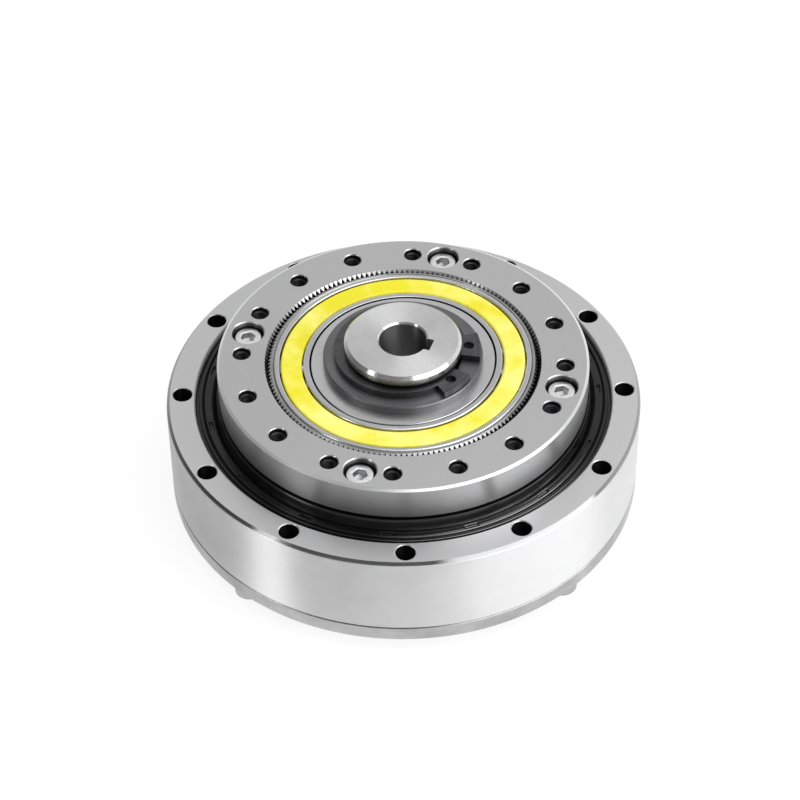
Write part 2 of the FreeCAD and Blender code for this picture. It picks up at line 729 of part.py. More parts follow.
bearing_outer_race = new_body("bearing_outer_race")
wave_ring(bearing_outer_race, "ring", "outer_shoulder", "rim_bore - race_fit",
          "bearing_floor", "bearing_width")
soften_race(bearing_outer_race, "outer_shoulder", "rim_bore - race_fit")
ball_groove(bearing_outer_race)

bearing_inner_race = new_body("bearing_inner_race")
wave_ring(bearing_inner_race, "ring", "race_bore", "inner_shoulder", "bearing_floor", "bearing_width")
soften_race(bearing_inner_race, "race_bore", "inner_shoulder")
ball_groove(bearing_inner_race)


def ball_places():
    """Centres of the balls, evenly spread along the bent pitch line."""
    pitch, wave = value("ball_pitch_radius"), value("wave_height")
    count = round(value("ball_count"))
    for index in range(count):
        angle = 2 * math.pi * index / count
        reach = pitch + wave * math.cos(2 * angle)
        yield FreeCAD.Vector(reach * math.cos(angle), reach * math.sin(angle), value("ball_height"))


bearing_balls = doc.addObject("Part::Feature", "bearing_balls")
balls = [Part.makeSphere(value("ball_radius"), place) for place in ball_places()]
bearing_balls.Shape = Part.makeCompound(balls)
bearing_balls.Placement = FreeCAD.Placement(FreeCAD.Vector(0, 0, 0),
                                            FreeCAD.Rotation(FreeCAD.Vector(0, 0, 1), value("wave_angle")))

ball_separator = new_body("ball_separator")
roof_floor = "bearing_top - separator_roof"
finger_floor = "ball_height - separator_finger_drop"
wave_ring(ball_separator, "roof", "inner_shoulder + separator_gap", "outer_shoulder - separator_gap",
          roof_floor, "separator_roof")
softened(ball_separator, "roof_outer_edge", "separator_edge", "outer_shoulder - separator_gap", "bearing_top")
softened(ball_separator, "roof_inner_edge", "separator_edge", "inner_shoulder + separator_gap", "bearing_top")
wave_ring(ball_separator, "fingers", "inner_shoulder + separator_finger_inset",
          "outer_shoulder - separator_gap", finger_floor, f"{roof_floor} - ({finger_floor})")
pocket = new_sketch(ball_separator, "pocket_outline", "YZ_Plane", turn="wave_angle")
draw_circle(pocket, "groove_radius", up="ball_height")
pocket_cut = raised(ball_separator, "pocket", pocket, "unit_radius", kind="Pocket", reverse=True)
mouth = new_sketch(ball_separator, "mouth_outline", "YZ_Plane", turn="wave_angle")
draw_outline(mouth, [
    ("0 - separator_mouth / 2", f"{finger_floor} - ball_clearance"),
    ("separator_mouth / 2", f"{finger_floor} - ball_clearance"),
    ("separator_mouth / 2", "ball_height"),
    ("0 - separator_mouth / 2", "ball_height"),
])
mouth_cut = raised(ball_separator, "mouth", mouth, "unit_radius", kind="Pocket", reverse=True)
repeated(ball_separator, "pockets", [pocket_cut, mouth_cut], "ball_count")

# Wave generator: oval plug, Oldham insert and hub, held together by a washer and a snap ring


def pair_of_blocks(body, name, inner, outer, width, floor, height, turn, kind="Pad"):
    """Two opposite blocks, or slots, that reach outward from the axis."""
    sketch = new_sketch(body, f"{name}_outline", "XY_Plane", height=floor, turn=turn)
    draw_outline(sketch, [
        (inner, f"0 - ({width}) / 2"),
        (outer, f"0 - ({width}) / 2"),
        (outer, f"({width}) / 2"),
        (inner, f"({width}) / 2"),
    ])
    block = raised(body, name, sketch, height, kind=kind, reverse=kind == "Pocket")
    return repeated(body, f"{name}_pair", [block], "2")


tongue_inner = "plug_bore + coupling_play"

cam_plug = new_body("cam_plug")
wave_ring(cam_plug, "oval", "plug_bore - wave_height", "race_bore",
          "bearing_floor", "plug_top - bearing_floor")
softened(cam_plug, "top_edge", "plug_edge", "race_bore", "plug_top", kind="Chamfer")
softened(cam_plug, "floor_edge", "plug_edge", "race_bore", "bearing_floor", kind="Chamfer")
bore = new_sketch(cam_plug, "bore_outline", "XY_Plane", height="bearing_floor")
draw_circle(bore, "plug_bore")
raised(cam_plug, "bore", bore, "bearing_width", kind="Pocket", reverse=True)
socket = new_sketch(cam_plug, "socket_outline", "XY_Plane", height="bearing_floor")
draw_circle(socket, "coupling_socket_radius")
raised(cam_plug, "socket", socket, "coupling_socket_depth", kind="Pocket", reverse=True)
pair_of_blocks(cam_plug, "tongue", tongue_inner, "coupling_socket_radius + coupling_play", "tongue_width",
               "socket_roof - tongue_height", "tongue_height + coupling_play", "key_angle + 90")

oldham_insert = new_body("oldham_insert")
ring = new_sketch(oldham_insert, "ring_outline", "XY_Plane", height="insert_floor")
draw_circle(ring, "coupling_socket_radius - 2 * coupling_play")
draw_circle(ring, tongue_inner)
raised(oldham_insert, "ring", ring, "insert_thickness")
slot_width = "tongue_width + 2 * coupling_play"
slot_inner = "hub_radius - tongue_height"
slot_depth = "tongue_height + coupling_play"
pair_of_blocks(oldham_insert, "lower_slot", slot_inner, "coupling_socket_radius", slot_width,
               "insert_floor", slot_depth, "key_angle", kind="Pocket")
pair_of_blocks(oldham_insert, "upper_slot", slot_inner, "coupling_socket_radius", slot_width,
               f"insert_top - ({slot_depth})", slot_depth, "key_angle + 90", kind="Pocket")

input_hub = new_body("input_hub")
turned(input_hub, "blank", [
    ("bore_radius + bore_chamfer", "hub_floor"),
    ("hub_flange_radius - edge_break", "hub_floor"),
    ("hub_flange_radius", "hub_floor + edge_break"),
    ("hub_flange_radius", "hub_step"),
    ("hub_radius", "hub_step"),
    ("hub_radius", "snap_floor - snap_ring_play"),
    ("snap_groove_radius", "snap_floor - snap_ring_play"),
    ("snap_groove_radius", "snap_top + snap_ring_play"),
    ("hub_radius", "snap_top + snap_ring_play"),
    ("hub_radius", "hub_top - hub_chamfer"),
    ("hub_radius - hub_chamfer", "hub_top"),
    ("bore_radius + bore_chamfer", "hub_top"),
    ("bore_radius", "hub_top - bore_chamfer"),
    ("bore_radius", "hub_floor + bore_chamfer"),
])
pair_of_blocks(input_hub, "tongue", "hub_radius - edge_break", "hub_flange_radius - edge_break",
               "tongue_width", "hub_step - edge_break", "tongue_height + edge_break", "key_angle")
keyway = new_sketch(input_hub, "keyway_outline", "XY_Plane", height="hub_floor", turn="key_angle")
draw_outline(keyway, [
    ("bore_radius - key_width / 2", "0 - key_width / 2"),
    ("key_reach", "0 - key_width / 2"),
    ("key_reach", "key_width / 2"),
    ("bore_radius - key_width / 2", "key_width / 2"),
])
raised(input_hub, "keyway", keyway, "hub_top - hub_floor", kind="Pocket", reverse=True)

rub_washer = new_body("rub_washer")
turned(rub_washer, "ring", [
    ("plug_bore", "plug_top"),
    ("washer_radius", "plug_top"),
    ("washer_radius", "washer_top - edge_break"),
    ("washer_radius - edge_break", "washer_top"),
    ("plug_bore", "washer_top"),
])


def snap_disc(name, radius, across="0", turn="0", start="0", span="360"):
    """A disc of the snap ring's thickness, or a sector of one that begins at an angle."""
    disc = doc.addObject("Part::Cylinder", f"snap_{name}")
    disc.setExpression("Radius", bound(radius))
    disc.setExpression("Height", bound("snap_ring_thickness"))
    disc.setExpression("Angle", bound(span))
    disc.Placement.Rotation = FreeCAD.Rotation(FreeCAD.Vector(0, 0, 1), value(start))
    disc.setExpression("Placement.Rotation.Angle", bound(start))
    disc.setExpression("Placement.Base.x", bound(f"({across}) * cos({turn})"))
    disc.setExpression("Placement.Base.y", bound(f"({across}) * sin({turn})"))
    disc.setExpression("Placement.Base.z", bound("snap_floor"))
    return disc


lug_starts = ("snap_angle + snap_gap_angle / 2", "snap_angle - snap_gap_angle / 2 - snap_lug_span")
eye_turns = ("snap_angle + snap_hole_angle", "snap_angle - snap_hole_angle")
plate = doc.addObject("Part::MultiFuse", "snap_plate")
plate.Shapes = [snap_disc("disc", "snap_ring_radius", across="0 - snap_ring_offset", turn="snap_angle")] + [
    snap_disc("lug", "snap_lug_reach", start=start, span="snap_lug_span") for start in lug_starts]
cutter = doc.addObject("Part::MultiFuse", "snap_cutter")
cutter.Shapes = [
    snap_disc("hollow", "snap_groove_radius + snap_ring_play"),
    snap_disc("mouth", "2 * snap_ring_radius", span="snap_gap_angle",
              start="snap_angle - snap_gap_angle / 2"),
] + [snap_disc("eye", "snap_hole_radius", across="snap_hole_circle", turn=turn) for turn in eye_turns]
snap_ring = doc.addObject("Part::Cut", "snap_ring")
snap_ring.Label = "snap_ring"
snap_ring.Base = plate
snap_ring.Tool = cutter

# Checks, then one file for each piece

doc.recompute()
PIECES = [
    outer_ring, flexspline, flange_screws, seal_case, oil_seal,
    circular_spline, inner_ring_upper, inner_ring_lower, output_screws,
    rollers_a, rollers_b, roller_spacers,
    input_hub, oldham_insert, cam_plug, rub_washer, snap_ring, bearing_inner_race,
    bearing_outer_race, bearing_balls, ball_separator,
]
for item in doc.Objects:
    if "Invalid" in item.State or "Error" in item.State:
        raise RuntimeError(f"{item.Label} failed: {item.State}")
for piece in PIECES:
    if piece.Shape.isNull() or not piece.Shape.isValid():
        raise RuntimeError(f"{piece.Label} has no valid shape")

os.makedirs("parts", exist_ok=True)
for piece in PIECES:
    piece.Shape.exportStep(f"parts/{piece.Label}.step")
    print(piece.Label, len(piece.Shape.Solids), "solids", round(piece.Shape.Volume, 2), "mm3")
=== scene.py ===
"""Looks of a hat type strain wave gear unit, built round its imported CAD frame, in metres."""
import bpy
import math
from mathutils import Euler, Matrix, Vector


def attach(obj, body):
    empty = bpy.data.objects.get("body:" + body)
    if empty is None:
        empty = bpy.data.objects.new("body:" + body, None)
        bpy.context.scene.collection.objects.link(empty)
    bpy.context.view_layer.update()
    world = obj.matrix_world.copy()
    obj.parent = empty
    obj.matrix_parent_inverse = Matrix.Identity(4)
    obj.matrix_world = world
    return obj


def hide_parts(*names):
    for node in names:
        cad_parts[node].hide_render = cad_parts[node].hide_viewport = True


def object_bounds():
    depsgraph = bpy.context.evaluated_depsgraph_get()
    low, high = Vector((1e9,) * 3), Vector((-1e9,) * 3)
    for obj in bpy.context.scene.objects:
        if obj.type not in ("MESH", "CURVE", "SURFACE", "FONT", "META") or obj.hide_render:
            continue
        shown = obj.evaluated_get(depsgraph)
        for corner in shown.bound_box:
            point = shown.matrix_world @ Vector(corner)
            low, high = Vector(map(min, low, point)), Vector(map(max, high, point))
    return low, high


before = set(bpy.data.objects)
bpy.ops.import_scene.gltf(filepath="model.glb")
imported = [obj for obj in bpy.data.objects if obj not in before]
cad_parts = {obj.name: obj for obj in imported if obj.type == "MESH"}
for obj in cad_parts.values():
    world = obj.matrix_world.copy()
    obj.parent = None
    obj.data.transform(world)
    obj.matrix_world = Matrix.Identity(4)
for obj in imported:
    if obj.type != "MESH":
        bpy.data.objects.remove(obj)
cad_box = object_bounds()

# Flexspline: a hat shaped cup of thin alloy steel, turned on a lathe and then toothed round its rim.
# Its brim is clamped under the outer ring, so only the brim's edge and the tooth ends show.
# Painted shade blackens the teeth's gaps and sides and dulls their ends at the right; the ends have a painted
# highlight.

MM = 0.001
WAVE_ANGLE = math.radians(61.0)
WAVE_HEIGHT = 0.3175 * MM
TOOTH_ROOT, TOOTH_TIP = 25.02, 26.5
TOOTH_FOOT, TOOTH_SLANT, TOOTH_END = 15.0, 27.58, 28.19
TOOTH_SHADE_FADE = (0.0, 20.0)
STEEP = 0.3
BOLT_CIRCLE, BOLT_COUNT, FIRST_BOLT, BOLT_HOLE = 42.0, 12, 0.0, 1.85


def linear(code):
    """An sRGB hex colour as the linear colour that a shader socket takes."""
    parts = [int(code[start:start + 2], 16) / 255 for start in (0, 2, 4)]
    return [part / 12.92 if part <= 0.04045 else ((part + 0.055) / 1.055) ** 2.4 for part in parts] + [1.0]


def add_node(tree, kind, inputs=None, **settings):
    """A node with its settings; each input is a value, or the socket that feeds it."""
    node = tree.nodes.new(kind)
    for name, setting in settings.items():
        setattr(node, name, setting)
    for name, given in (inputs or {}).items():
        if isinstance(given, bpy.types.NodeSocket):
            tree.links.new(given, node.inputs[name])
        else:
            node.inputs[name].default_value = given
    return node


def new_material(name, sockets):
    """A material with its node tree and shader, and the values that are the same all over it."""
    material = bpy.data.materials.new(name)
    material.use_nodes = True
    shader = material.node_tree.nodes["Principled BSDF"]
    for socket, number in sockets.items():
        shader.inputs[socket].default_value = number
    return material, material.node_tree, shader


def polar(tree):
    """The shaded point's place, its reach from the axis, angle about it and height, as sockets."""
    place = add_node(tree, "ShaderNodeTexCoord").outputs["Object"]
    parts = add_node(tree, "ShaderNodeSeparateXYZ", {0: place}).outputs
    flat = add_node(tree, "ShaderNodeVectorMath", {0: place, 1: (1, 1, 0)}, operation="MULTIPLY").outputs[0]
    reach = add_node(tree, "ShaderNodeVectorMath", {0: flat}, operation="LENGTH").outputs["Value"]
    angle = add_node(tree, "ShaderNodeMath", {0: parts["Y"], 1: parts["X"]}, operation="ARCTAN2").outputs[0]
    return {"place": place, "reach": reach, "angle": angle, "height": parts["Z"]}


def upward(tree):
    """How far the surface faces upwards, from -1 to 1, as a socket."""
    normal = add_node(tree, "ShaderNodeNewGeometry").outputs["Normal"]
    return add_node(tree, "ShaderNodeSeparateXYZ", {0: normal}).outputs["Z"]


def turned_steel(name, pale, deep, smooth, rough, groove, depth, pull, fan=0.1, cloud=9.0, flank=0.0):
    """Metal with tool marks round the axis: spacing and depth of the marks and size of its clouds in mm.

    The marks draw reflections out across them, by pull on upright faces, which are also rougher by flank,
    and by fan on level ones. Real marks lie a few hundredths of a millimetre apart, and are drawn several
    times coarser so that they show.
    """
    material, tree, shader = new_material(name, {"Metallic": 1.0, "Anisotropic Rotation": 0.25})
    spot = polar(tree)
    lay = add_node(tree, "ShaderNodeMath", {0: spot["reach"], 1: spot["height"]}, operation="ADD").outputs[0]
    rings = add_node(tree, "ShaderNodeTexNoise", {"W": lay, "Scale": 1 / (groove * MM), "Detail": 3.0},
                     noise_dimensions="1D").outputs[0]
    clouds = add_node(tree, "ShaderNodeTexNoise", {
        "Vector": spot["place"], "Scale": 1 / (cloud * MM), "Detail": 4.0, "Roughness": 0.7}).outputs[0]
    both = add_node(tree, "ShaderNodeMath", {0: clouds, 1: 2.0, 2: rings},
                    operation="MULTIPLY_ADD").outputs[0]
    share = add_node(tree, "ShaderNodeMapRange", {"Value": both, "From Min": 1.1, "From Max": 1.9}).outputs[0]
    tint = add_node(tree, "ShaderNodeMix", {0: share, 6: linear(deep), 7: linear(pale)}, data_type="RGBA")
    sheen = add_node(tree, "ShaderNodeMapRange", {"Value": share, "To Min": rough, "To Max": smooth})
    bump = add_node(tree, "ShaderNodeBump", {"Height": rings, "Distance": depth * MM, "Strength": 1.0})
    tangent = add_node(tree, "ShaderNodeTangent", direction_type="RADIAL", axis="Z")
    level = add_node(tree, "ShaderNodeMapRange", {"Value": upward(tree), "From Min": 0.8}).outputs[0]
    drawn = add_node(tree, "ShaderNodeMapRange", {"Value": level, "To Min": pull, "To Max": fan})
    rougher = add_node(tree, "ShaderNodeMapRange", {"Value": level, "To Min": flank, "To Max": 0.0})
    sheen = add_node(tree, "ShaderNodeMath", {0: sheen.outputs[0], 1: rougher.outputs[0]}, operation="ADD")
    tree.links.new(drawn.outputs[0], shader.inputs["Anisotropic"])
    tree.links.new(tint.outputs[2], shader.inputs["Base Color"])
    tree.links.new(sheen.outputs[0], shader.inputs["Roughness"])
    tree.links.new(bump.outputs[0], shader.inputs["Normal"])
    tree.links.new(tangent.outputs[0], shader.inputs["Tangent"])
    return material


def unbent(tree):
    """Distance from the axis as it would be if the wave were pressed flat."""
    spot = polar(tree)
    twice = add_node(tree, "ShaderNodeMath", {0: spot["angle"], 1: 2.0, 2: -2 * WAVE_ANGLE},
                     operation="MULTIPLY_ADD")
    swing = add_node(tree, "ShaderNodeMath", {0: twice.outputs[0]}, operation="COSINE")
    return add_node(tree, "ShaderNodeMath", {0: swing.outputs[0], 1: -WAVE_HEIGHT, 2: spot["reach"]},
                    operation="MULTIPLY_ADD").outputs[0]


def zone(material, measure, low, high):
    """1 where the reach, unbent reach or height lies between two values in millimetres, and 0 elsewhere."""
    tree = material.node_tree
    socket = unbent(tree) if measure == "unbent" else polar(tree)[measure]
    middle, half = (low + high) / 2 * MM, (high - low) / 2 * MM
    return add_node(tree, "ShaderNodeMath", {0: socket, 1: middle, 2: half}, operation="COMPARE").outputs[0]


def growing(material, way, start, end):
    """0 rising to 1 between two distances in millimetres from the origin along a direction."""
    tree = material.node_tree
    along = add_node(tree, "ShaderNodeVectorMath", {0: polar(tree)["place"], 1: way},
                     operation="DOT_PRODUCT").outputs["Value"]
    return add_node(tree, "ShaderNodeMapRange", {
        "Value": along, "From Min": start * MM, "From Max": end * MM}).outputs[0]


def inside_holes(material, circle, count, first, radius):
    """1 inside a ring of round holes along the axis, 0 elsewhere; sizes in millimetres, angles in degrees."""
    tree = material.node_tree
    spot = polar(tree)
    step = 2 * math.pi / count
    off = add_node(tree, "ShaderNodeMath", {0: spot["angle"], 1: math.radians(first)},
                   operation="SUBTRACT").outputs[0]
    turn = add_node(tree, "ShaderNodeMath", {0: off, 1: step / 2, 2: -step / 2}, operation="WRAP").outputs[0]
    ways = []
    for operation, start in (("COSINE", -circle * MM), ("SINE", 0.0)):
        part = add_node(tree, "ShaderNodeMath", {0: turn}, operation=operation).outputs[0]
        ways.append(add_node(tree, "ShaderNodeMath", {0: part, 1: spot["reach"], 2: start},
                             operation="MULTIPLY_ADD").outputs[0])
    flat = add_node(tree, "ShaderNodeCombineXYZ", {"X": ways[0], "Y": ways[1]}).outputs[0]
    away = add_node(tree, "ShaderNodeVectorMath", {0: flat}, operation="LENGTH").outputs["Value"]
    return add_node(tree, "ShaderNodeMath", {0: away, 1: radius * MM}, operation="LESS_THAN").outputs[0]


def finish(material, *masks, code="1C1C1D", roughness=0.5):
    """Another finish where all the masks are 1; without a colour it is near black, serving both as painted
    shade and as dark oil in joints.
    """
    tree = material.node_tree
    shader = tree.nodes["Principled BSDF"]
    mask = masks[0]
    for other in masks[1:]:
        mask = add_node(tree, "ShaderNodeMath", {0: mask, 1: other}, operation="MULTIPLY").outputs[0]
    old_tint = shader.inputs["Base Color"].links[0].from_socket
    old_sheen = shader.inputs["Roughness"].links[0].from_socket
    tint = add_node(tree, "ShaderNodeMix", {0: mask, 6: old_tint, 7: linear(code)}, data_type="RGBA")
    sheen = add_node(tree, "ShaderNodeMix", {0: mask, 2: old_sheen, 3: roughness})
    tree.links.new(tint.outputs[2], shader.inputs["Base Color"])
    tree.links.new(sheen.outputs[0], shader.inputs["Roughness"])


def dress(material, *names):
    """The material in every slot of these CAD nodes."""
    for name in names:
        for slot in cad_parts[name].material_slots:
            slot.material = material


# Turned alloy steel: a satin grey edge, pale tooth ends as a painted highlight, and painted shade in the
# gaps, on the tooth sides, on the ends at the right and in the bolt holes.
cup_steel = turned_steel("satin_turned_alloy_steel", pale="BABABA", deep="A0A0A0", smooth=0.26, rough=0.36,
                         groove=0.2, depth=0.001, pull=0.5)
cup_teeth = zone(cup_steel, "unbent", TOOTH_ROOT, TOOTH_TIP)
tooth_ends = zone(cup_steel, "height", TOOTH_SLANT, TOOTH_END)
right_end_shade = growing(cup_steel, (1, 0, 0), *TOOTH_SHADE_FADE)
# Steep faces of the teeth, which take painted shade.
shaded_tooth_sides = add_node(cup_steel.node_tree, "ShaderNodeMath", {0: upward(cup_steel.node_tree), 1: STEEP},
                       operation="LESS_THAN").outputs[0]
# Painted shade: near black in the gaps between the teeth and on their steep sides.
finish(cup_steel, cup_teeth, zone(cup_steel, "height", TOOTH_FOOT, TOOTH_SLANT))
# Painted highlight: the tooth ends are pale.
finish(cup_steel, cup_teeth, tooth_ends, code="E8E8E8", roughness=0.4)
# Painted shade: the tooth ends are duller towards the right.
finish(cup_steel, cup_teeth, tooth_ends, right_end_shade, code="6A6A6B", roughness=0.3)
finish(cup_steel, cup_teeth, tooth_ends, shaded_tooth_sides)
# Painted shade inside the bolt holes.
finish(cup_steel, inside_holes(cup_steel, BOLT_CIRCLE, BOLT_COUNT, FIRST_BOLT, BOLT_HOLE))
dress(cup_steel, "flexspline")

# Outer ring of the crossed roller bearing: hardened bearing steel, turned and then ground bright.
# Twelve bolt holes are drilled right through it and the brim below, and are painted dark inside as shade.
# The ring's inner half, in two pieces that can't be seen, is of the same steel.

RING_RADIUS, RING_TOP, RING_EDGE = 45.0, 20.0, 0.5
BRIM_JOINT = (2.9, 3.25)

# Ground bearing steel: a bright side with tall soft streaks, a plainer satin top, a polished edge between
# them, painted darker as shade, that draws a thin sharp line, and a dark joint above the brim.
ring_steel = turned_steel("ground_bearing_steel", pale="E4E4E5", deep="DCDCDD", smooth=0.34, rough=0.4,
                          groove=0.2, depth=0.0004, pull=0.95, fan=0.0, cloud=25.0, flank=0.08)
# Painted shade inside the bolt holes.
finish(ring_steel, inside_holes(ring_steel, BOLT_CIRCLE, BOLT_COUNT, FIRST_BOLT, BOLT_HOLE),
       zone(ring_steel, "height", 0.0, RING_TOP - 0.15))
finish(ring_steel, zone(ring_steel, "height", *BRIM_JOINT))
finish(ring_steel, zone(ring_steel, "height", RING_TOP - 0.01, RING_TOP + 0.01), code="D6D6D7",
       roughness=0.37)
# Painted shade: the polished edge at the top is a darker grey.
finish(ring_steel, zone(ring_steel, "reach", RING_RADIUS - 0.7, RING_RADIUS + 0.1),
       zone(ring_steel, "height", RING_TOP - RING_EDGE, RING_TOP - 0.01), code="A0A0A1", roughness=0.16)
dress(ring_steel, "bearing_outer_ring", "inner_ring_upper", "inner_ring_lower")

# Cap screws: cold headed M3 screws of bright steel with a knurled head and a hexagon socket.
# Four hold the brim to the outer ring from below, so their heads stand under it like feet, and four
# hold the output ring to its bearing, with their heads sunk below its face.

HEAD_RADIUS, HEAD_HEIGHT, HEAD_ROUNDING, SHANK_RADIUS = 2.75, 3.0, 0.42, 1.24
SOCKET_WIDTH, SOCKET_DEPTH, SOCKET_MOUTH, SOCKET_REACH = 2.5, 1.4, 0.12, 1.46
KNURL_COUNT, KNURL_EDGE, KNURL_DEPTH = 40, 0.1, 0.06
SCREW_COUNT = 4
SUNK_HEADS = (20.0, 28.0)
FOOT_CIRCLE, FIRST_FOOT, FOOT_SEAT, FOOT_SHANK = 41.5, 45.0, 0.0, 7.5
SCREW_CIRCLE, FIRST_SCREW, SCREW_SEAT, SCREW_SHANK = 30.5, -15.25, 24.3, 19.5


def pick_faces(piece, wanted):
    """Selects the faces of a piece whose centre and normal the test accepts, and goes into edit mode."""
    bpy.ops.object.mode_set(mode="EDIT")
    bpy.ops.mesh.select_mode(type="FACE")
    bpy.ops.mesh.select_all(action="DESELECT")
    bpy.ops.object.mode_set(mode="OBJECT")
    for face in piece.data.polygons:
        face.select = wanted(face.center / MM, face.normal)
    bpy.ops.object.mode_set(mode="EDIT")


def in_socket(centre, normal):
    """Whether a face of a screw is a wall of its hexagon socket."""
    return abs(normal.z) < 0.1 and math.hypot(centre.x, centre.y) < SOCKET_WIDTH / 2 + 0.1


def cap_screw(shank):
    """A cap screw with its seat at the origin and its head upwards; the shank's length in millimetres."""
    bpy.ops.object.select_all(action="DESELECT")
    bpy.ops.mesh.primitive_cylinder_add(vertices=KNURL_COUNT, radius=HEAD_RADIUS * MM, depth=HEAD_HEIGHT * MM,
                                        location=(0, 0, HEAD_HEIGHT / 2 * MM))
    screw = bpy.context.object
    bpy.ops.object.transform_apply(location=True, rotation=True, scale=True)
    pick_faces(screw, lambda centre, normal: normal.z > 0.9)
    bpy.ops.mesh.bevel(offset=HEAD_ROUNDING * MM, segments=4, affect="EDGES")
    bpy.ops.object.mode_set(mode="OBJECT")
    pick_faces(screw, lambda centre, normal: abs(normal.z) < 0.1)
    bpy.ops.mesh.inset(thickness=KNURL_EDGE * MM, depth=-KNURL_DEPTH * MM, use_individual=True)
    bpy.ops.object.mode_set(mode="OBJECT")
    pick_faces(screw, lambda centre, normal: normal.z < -0.9)
    bpy.ops.mesh.inset(thickness=(HEAD_RADIUS - SHANK_RADIUS) * MM)
    bpy.ops.mesh.extrude_region()
    bpy.ops.transform.translate(value=(0, 0, -shank * MM))
    bpy.ops.object.mode_set(mode="OBJECT")
    bpy.ops.mesh.primitive_cylinder_add(vertices=6, radius=SOCKET_WIDTH / math.sqrt(3) * MM,
                                        depth=2 * SOCKET_DEPTH * MM, location=(0, 0, HEAD_HEIGHT * MM))
    key = bpy.context.object
    sinking = screw.modifiers.new("socket", "BOOLEAN")
    sinking.object = key
    sinking.operation = "DIFFERENCE"
    bpy.context.view_layer.objects.active = screw
    bpy.ops.object.modifier_apply(modifier=sinking.name)
    bpy.data.objects.remove(key)
    pick_faces(screw, in_socket)
    bpy.ops.mesh.bevel(offset=SOCKET_MOUTH * MM, segments=2, affect="EDGES")
    bpy.ops.object.mode_set(mode="OBJECT")
    return screw


def set_of_screws(name, screw, circle, first, height, upright):
    """Copies of a screw on a circle, made one piece."""
    copies = [screw]
    for index in range(1, SCREW_COUNT):
        copies.append(screw.copy())
        copies[index].data = screw.data.copy()
        bpy.context.collection.objects.link(copies[index])
    bpy.ops.object.select_all(action="DESELECT")
    for index, copy in enumerate(copies):
        turn = math.radians(first + 360 / SCREW_COUNT * index)
        copy.location = (circle * MM * math.cos(turn), circle * MM * math.sin(turn), height * MM)
        copy.rotation_euler = (0 if upright else math.pi, 0, turn)
        copy.select_set(True)
    bpy.context.view_layer.objects.active = screw
    bpy.ops.object.join()
    bpy.ops.object.transform_apply(location=True, rotation=True, scale=True)
    bpy.ops.object.shade_smooth_by_angle(angle=math.radians(35))
    screw.name = name
    screw.data.materials.clear()
    screw.data.materials.append(screw_steel)
    return screw


# Bright screw steel: pale head faces and glinting sockets; painted shade greys the sockets inside, darkens
# the sunk heads' edges and dims the heads that stand under the brim.
screw_steel = turned_steel("bright_cap_screw_steel", pale="FAFAFA", deep="F0F0F1", smooth=0.28, rough=0.36,
                           groove=0.5, depth=0.0003, pull=0.0, cloud=4.0)
head_middle = inside_holes(screw_steel, SCREW_CIRCLE, SCREW_COUNT, FIRST_SCREW, HEAD_RADIUS - 0.3)
shaded_head_edge = add_node(screw_steel.node_tree, "ShaderNodeMath", {0: 1.0, 1: head_middle},
                     operation="SUBTRACT").outputs[0]
# Painted shade inside the sockets of the sunk heads.
finish(screw_steel, inside_holes(screw_steel, SCREW_CIRCLE, SCREW_COUNT, FIRST_SCREW, SOCKET_REACH),
       zone(screw_steel, "height", SUNK_HEADS[0], SCREW_SEAT + HEAD_HEIGHT - 0.1), code="C8C8C9",
       roughness=0.3)
# Painted shade round the edges of the sunk heads.
finish(screw_steel, shaded_head_edge, zone(screw_steel, "height", *SUNK_HEADS), code="5A5A5B", roughness=0.4)
# Painted shade on the heads that stand under the brim.
finish(screw_steel, zone(screw_steel, "height", -HEAD_HEIGHT - 0.1, 0.0), code="B0B0B1", roughness=0.35)
feet = set_of_screws("flange_cap_screws", cap_screw(FOOT_SHANK), FOOT_CIRCLE, FIRST_FOOT, FOOT_SEAT,
                     upright=False)
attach(feet, "housing")
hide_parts("flange_screws")
sunk = set_of_screws("output_cap_screws", cap_screw(SCREW_SHANK), SCREW_CIRCLE, FIRST_SCREW, SCREW_SEAT,
                     upright=True)
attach(sunk, "output")
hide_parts("output_screws")

# Crossed rollers, every second one leaning the other way, with plastic spacers between them.
# They are polished bearing steel and sit unseen in their raceway, behind the seal.

# Polished bearing steel: almost a mirror.
roller_steel = turned_steel("polished_roller_steel", pale="E8E8EA", deep="DEDEE0", smooth=0.06, rough=0.12,
                            groove=0.4, depth=0.0003, pull=0.0)
dress(roller_steel, "rollers_a", "rollers_b", "bearing_balls")

# Natural polyamide: cream coloured and half glossy, with faint clouds in the moulding.
spacer_plastic, spacer_tree, spacer_shader = new_material("natural_polyamide", {
    "Roughness": 0.45, "IOR": 1.53})
spacer_cloud = add_node(spacer_tree, "ShaderNodeTexNoise", {
    "Vector": polar(spacer_tree)["place"], "Scale": 1 / (2 * MM)}).outputs[0]
spacer_tint = add_node(spacer_tree, "ShaderNodeMix", {
    0: spacer_cloud, 6: linear("D9D3BF"), 7: linear("EDE8DA")}, data_type="RGBA")
spacer_tree.links.new(spacer_tint.outputs[2], spacer_shader.inputs["Base Color"])
dress(spacer_plastic, "roller_spacers")

# Circular spline: the raised output ring with inner teeth, of cast steel with a satin ground face.
# Sixteen M3 holes are tapped in it for the driven arm; they are painted dark inside as shade, and their
# threads show at the mouths.
# Its wall is turned smooth above the seal's lip, where a dark line of painted shade lies.

HOLE_CIRCLE, HOLE_COUNT, FIRST_HOLE, HOLE_RADIUS = 30.5, 16, -4.0, 1.49
THREAD_PITCH, THREAD_SIDE, THREAD_TURNS, THREAD_FOOT = 0.5, 0.38, 11, 22.3
SPLINE_RADIUS, SPLINE_FACE, SPLINE_FOOT = 35.0, 28.4, 10.0
SPLINE_TEETH, SPLINE_TOOTH_SLANT = (20.0, 26.12), 27.78
SUNK_RADIUS, SUNK_SHADE = 3.09, 27.3
LIP_SHADE_FOOT, LIP_SHADE_TOP = 15.0, 21.85
FRONT_SHADE_FADE = (-15.0, 0.0)
